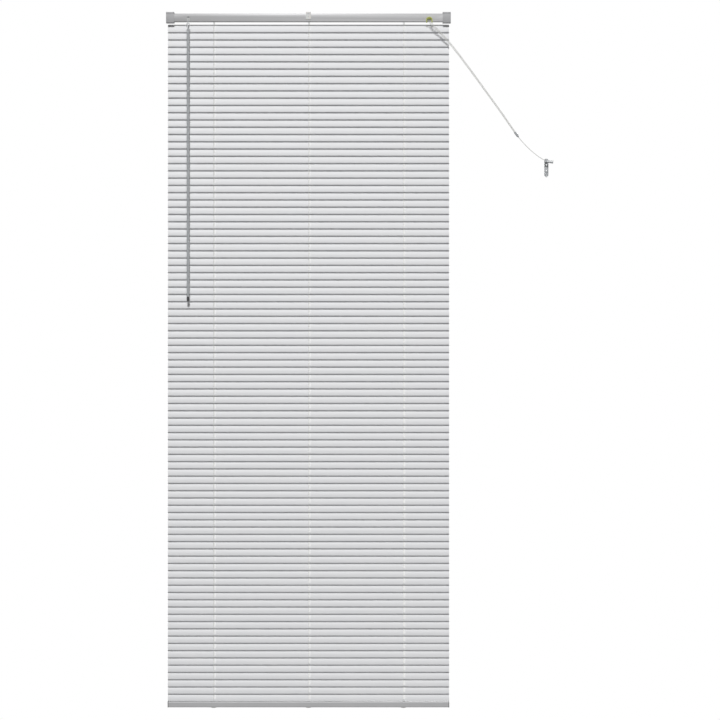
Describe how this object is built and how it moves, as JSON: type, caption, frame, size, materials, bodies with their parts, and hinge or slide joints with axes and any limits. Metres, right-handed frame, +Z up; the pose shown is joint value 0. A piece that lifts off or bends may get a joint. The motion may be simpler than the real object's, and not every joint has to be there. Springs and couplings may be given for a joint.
{
  "type": "venetian blind",
  "caption": "Aluminium slat blind with headrail, end brackets, ladder strings, tilt wand, cord lock with pull cords, joiner, wall cleat and bottom rail; slats tilt and gather.",
  "frame": {"origin": "middle of the four screw holes in the top plates of the end brackets, on the mounting plane", "axes": "+X to the right seen from the room, -Y towards the room, +Z up"},
  "size_m": [1.2244, 0.0404, 2.2],
  "materials": {
    "headrail_paint": "satin grey enamel on steel",
    "bracket_steel": "satin grey enamel on pressed steel",
    "slat_enamel": "satin silver coil coating",
    "plain_steel": "zinc plated",
    "white_plastic": "moulded white plastic",
    "clear_plastic": "clear grey plastic",
    "dark_plastic": "moulded dark grey plastic",
    "olive_plastic": "olive translucent plastic",
    "cord": "white braided polyester"
  },
  "bodies": {
    "root": {"headrail": "headrail_paint", "headrail_caps": "white_plastic", "bracket_left": "bracket_steel", "bracket_right": "bracket_steel", "door_pins": "plain_steel", "centre_support": "white_plastic", "drum_cradles": "white_plastic", "tilter_housing": "white_plastic", "cord_lock_housing": "white_plastic", "cord_lock_nose": "olive_plastic", "ladder_strings": "cord", "lift_cords": "cord", "pull_cord_left": "cord", "pull_cord_middle": "cord", "pull_cord_right": "cord", "tail_cord": "cord", "cord_joiner": "clear_plastic", "cord_cleat": "clear_plastic", "slats_upper": "slat_enamel", "rungs_upper": "cord"},
    "tilt_rod": {"tilt_rod": "plain_steel", "tilt_drums": "white_plastic", "tilt_wheel": "white_plastic"},
    "worm": {"worm": "clear_plastic"},
    "wand_hook": {"wand_hook": "clear_plastic"},
    "wand": {"wand": "clear_plastic", "wand_tip": "dark_plastic"},
    "cord_lock_roller": {"cord_lock_roller": "plain_steel"},
    "door_left": {"bracket_door_left": "bracket_steel"},
    "door_right": {"bracket_door_right": "bracket_steel"},
    "ladder_rear": {"ladder_knots_rear": "cord"},
    "ladder_front": {"ladder_knots_front": "cord"},
    "bottom_rail": {"bottom_rail": "headrail_paint", "bottom_rail_caps": "dark_plastic", "cord_buttons": "white_plastic"},
    "slat_12": {"slat_12": "slat_enamel"},
    "carrier_11": {"rungs_11": "cord"},
    "slat_11": {"slat_11": "slat_enamel"},
    "carrier_10": {"rungs_10": "cord"},
    "slat_10": {"slat_10": "slat_enamel"},
    "carrier_09": {"rungs_09": "cord"},
    "slat_09": {"slat_09": "slat_enamel"},
    "carrier_08": {"rungs_08": "cord"},
    "slat_08": {"slat_08": "slat_enamel"},
    "carrier_07": {"rungs_07": "cord"},
    "slat_07": {"slat_07": "slat_enamel"},
    "carrier_06": {"rungs_06": "cord"},
    "slat_06": {"slat_06": "slat_enamel"},
    "carrier_05": {"rungs_05": "cord"},
    "slat_05": {"slat_05": "slat_enamel"},
    "carrier_04": {"rungs_04": "cord"},
    "slat_04": {"slat_04": "slat_enamel"},
    "carrier_03": {"rungs_03": "cord"},
    "slat_03": {"slat_03": "slat_enamel"},
    "carrier_02": {"rungs_02": "cord"},
    "slat_02": {"slat_02": "slat_enamel"},
    "carrier_01": {"rungs_01": "cord"},
    "slat_01": {"slat_01": "slat_enamel"}
  },
  "joints": [
    {"name": "tilt", "type": "hinge", "parent": "root", "child": "tilt_rod", "pos_m": [0, 0, -0.015], "axis": [-1, 0, 0], "range_deg": [0, 280], "deforming": ["ladder_strings", "ladder_knots_front", "ladder_knots_rear", "rungs_upper"]},
    {"name": "lift", "type": "slide", "parent": "root", "child": "bottom_rail", "axis": [0, 0, 1], "range_m": [0, 0.22], "deforming": ["lift_cords", "rungs_01", "rungs_02", "rungs_03", "rungs_04", "rungs_05", "rungs_06", "rungs_07", "rungs_08", "rungs_09", "rungs_10", "rungs_11"]},
    {"name": "worm_spin", "type": "hinge", "parent": "root", "child": "worm", "pos_m": [-0.38, -0.00624, -0.0114], "axis": [0, -0.5, -0.866], "range_deg": [0, 2100]},
    {"name": "wand_spin", "type": "hinge", "parent": "root", "child": "wand_hook", "pos_m": [-0.38, -0.02159, -0.038], "axis": [0, 0, -1], "range_deg": [0, 2100]},
    {"name": "wand_swing", "type": "hinge", "parent": "wand_hook", "child": "wand", "pos_m": [-0.38, -0.02159, -0.0485], "axis": [-1, 0, 0], "range_deg": [0, 70]},
    {"name": "roller_spin", "type": "hinge", "parent": "root", "child": "cord_lock_roller", "pos_m": [0.382, 0, -0.0195], "axis": [0, 1, 0], "range_deg": [0, 3601.45]},
    {"name": "door_left_swing", "type": "hinge", "parent": "root", "child": "door_left", "pos_m": [-0.437, -0.0148, -0.0026], "axis": [-1, 0, 0], "range_deg": [0, 100]},
    {"name": "door_right_swing", "type": "hinge", "parent": "root", "child": "door_right", "pos_m": [0.437, -0.0148, -0.0026], "axis": [-1, 0, 0], "range_deg": [0, 100]},
    {"name": "ladder_rear_slide", "type": "slide", "parent": "root", "child": "ladder_rear", "axis": [0, 0, -1], "range_m": [0, 0.02312]},
    {"name": "ladder_front_slide", "type": "slide", "parent": "ladder_rear", "child": "ladder_front", "axis": [0, 0, 1], "range_m": [0, 0.04624]},
    {"name": "tilt_12", "type": "hinge", "parent": "root", "child": "slat_12", "pos_m": [0, 0, -1.91351], "axis": [-1, 0, 0], "range_deg": [0, 140]},
    {"name": "rise_11", "type": "slide", "parent": "root", "child": "carrier_11", "axis": [0, 0, 1], "range_m": [0, 0.02]},
    {"name": "tilt_11", "type": "hinge", "parent": "carrier_11", "child": "slat_11", "pos_m": [0, 0, -1.93651], "axis": [-1, 0, 0], "range_deg": [0, 140]},
    {"name": "rise_10", "type": "slide", "parent": "root", "child": "carrier_10", "axis": [0, 0, 1], "range_m": [0, 0.04]},
    {"name": "tilt_10", "type": "hinge", "parent": "carrier_10", "child": "slat_10", "pos_m": [0, 0, -1.95951], "axis": [-1, 0, 0], "range_deg": [0, 140]},
    {"name": "rise_09", "type": "slide", "parent": "root", "child": "carrier_09", "axis": [0, 0, 1], "range_m": [0, 0.06]},
    {"name": "tilt_09", "type": "hinge", "parent": "carrier_09", "child": "slat_09", "pos_m": [0, 0, -1.98251], "axis": [-1, 0, 0], "range_deg": [0, 140]},
    {"name": "rise_08", "type": "slide", "parent": "root", "child": "carrier_08", "axis": [0, 0, 1], "range_m": [0, 0.08]},
    {"name": "tilt_08", "type": "hinge", "parent": "carrier_08", "child": "slat_08", "pos_m": [0, 0, -2.00551], "axis": [-1, 0, 0], "range_deg": [0, 140]},
    {"name": "rise_07", "type": "slide", "parent": "root", "child": "carrier_07", "axis": [0, 0, 1], "range_m": [0, 0.1]},
    {"name": "tilt_07", "type": "hinge", "parent": "carrier_07", "child": "slat_07", "pos_m": [0, 0, -2.02851], "axis": [-1, 0, 0], "range_deg": [0, 140]},
    {"name": "rise_06", "type": "slide", "parent": "root", "child": "carrier_06", "axis": [0, 0, 1], "range_m": [0, 0.12]},
    {"name": "tilt_06", "type": "hinge", "parent": "carrier_06", "child": "slat_06", "pos_m": [0, 0, -2.05151], "axis": [-1, 0, 0], "range_deg": [0, 140]},
    {"name": "rise_05", "type": "slide", "parent": "root", "child": "carrier_05", "axis": [0, 0, 1], "range_m": [0, 0.14]},
    {"name": "tilt_05", "type": "hinge", "parent": "carrier_05", "child": "slat_05", "pos_m": [0, 0, -2.07451], "axis": [-1, 0, 0], "range_deg": [0, 140]},
    {"name": "rise_04", "type": "slide", "parent": "root", "child": "carrier_04", "axis": [0, 0, 1], "range_m": [0, 0.16]},
    {"name": "tilt_04", "type": "hinge", "parent": "carrier_04", "child": "slat_04", "pos_m": [0, 0, -2.09751], "axis": [-1, 0, 0], "range_deg": [0, 140]},
    {"name": "rise_03", "type": "slide", "parent": "root", "child": "carrier_03", "axis": [0, 0, 1], "range_m": [0, 0.18]},
    {"name": "tilt_03", "type": "hinge", "parent": "carrier_03", "child": "slat_03", "pos_m": [0, 0, -2.12051], "axis": [-1, 0, 0], "range_deg": [0, 140]},
    {"name": "rise_02", "type": "slide", "parent": "root", "child": "carrier_02", "axis": [0, 0, 1], "range_m": [0, 0.2]},
    {"name": "tilt_02", "type": "hinge", "parent": "carrier_02", "child": "slat_02", "pos_m": [0, 0, -2.14351], "axis": [-1, 0, 0], "range_deg": [0, 140]},
    {"name": "rise_01", "type": "slide", "parent": "root", "child": "carrier_01", "axis": [0, 0, 1], "range_m": [0, 0.22]},
    {"name": "tilt_01", "type": "hinge", "parent": "carrier_01", "child": "slat_01", "pos_m": [0, 0, -2.16651], "axis": [-1, 0, 0], "range_deg": [0, 140]}
  ],
  "couplings": [
    {"joint": "worm_spin", "follows": "tilt", "ratio": 7.5},
    {"joint": "wand_spin", "follows": "tilt", "ratio": 7.5},
    {"joint": "roller_spin", "follows": "lift", "rad_per_m": 285.71},
    {"joint": "ladder_rear_slide", "follows": "tilt", "m_per_rad": 0.0047302},
    {"joint": "ladder_front_slide", "follows": "tilt", "m_per_rad": 0.0094603},
    {"joint": "tilt_12", "follows": "tilt", "ratio": 0.5},
    {"joint": "rise_11", "follows": "lift", "ratio": 0.090909},
    {"joint": "tilt_11", "follows": "tilt", "ratio": 0.5},
    {"joint": "rise_10", "follows": "lift", "ratio": 0.18182},
    {"joint": "tilt_10", "follows": "tilt", "ratio": 0.5},
    {"joint": "rise_09", "follows": "lift", "ratio": 0.27273},
    {"joint": "tilt_09", "follows": "tilt", "ratio": 0.5},
    {"joint": "rise_08", "follows": "lift", "ratio": 0.36364},
    {"joint": "tilt_08", "follows": "tilt", "ratio": 0.5},
    {"joint": "rise_07", "follows": "lift", "ratio": 0.45455},
    {"joint": "tilt_07", "follows": "tilt", "ratio": 0.5},
    {"joint": "rise_06", "follows": "lift", "ratio": 0.54545},
    {"joint": "tilt_06", "follows": "tilt", "ratio": 0.5},
    {"joint": "rise_05", "follows": "lift", "ratio": 0.63636},
    {"joint": "tilt_05", "follows": "tilt", "ratio": 0.5},
    {"joint": "rise_04", "follows": "lift", "ratio": 0.72727},
    {"joint": "tilt_04", "follows": "tilt", "ratio": 0.5},
    {"joint": "rise_03", "follows": "lift", "ratio": 0.81818},
    {"joint": "tilt_03", "follows": "tilt", "ratio": 0.5},
    {"joint": "rise_02", "follows": "lift", "ratio": 0.90909},
    {"joint": "tilt_02", "follows": "tilt", "ratio": 0.5},
    {"joint": "rise_01", "follows": "lift", "ratio": 1},
    {"joint": "tilt_01", "follows": "tilt", "ratio": 0.5}
  ]
}
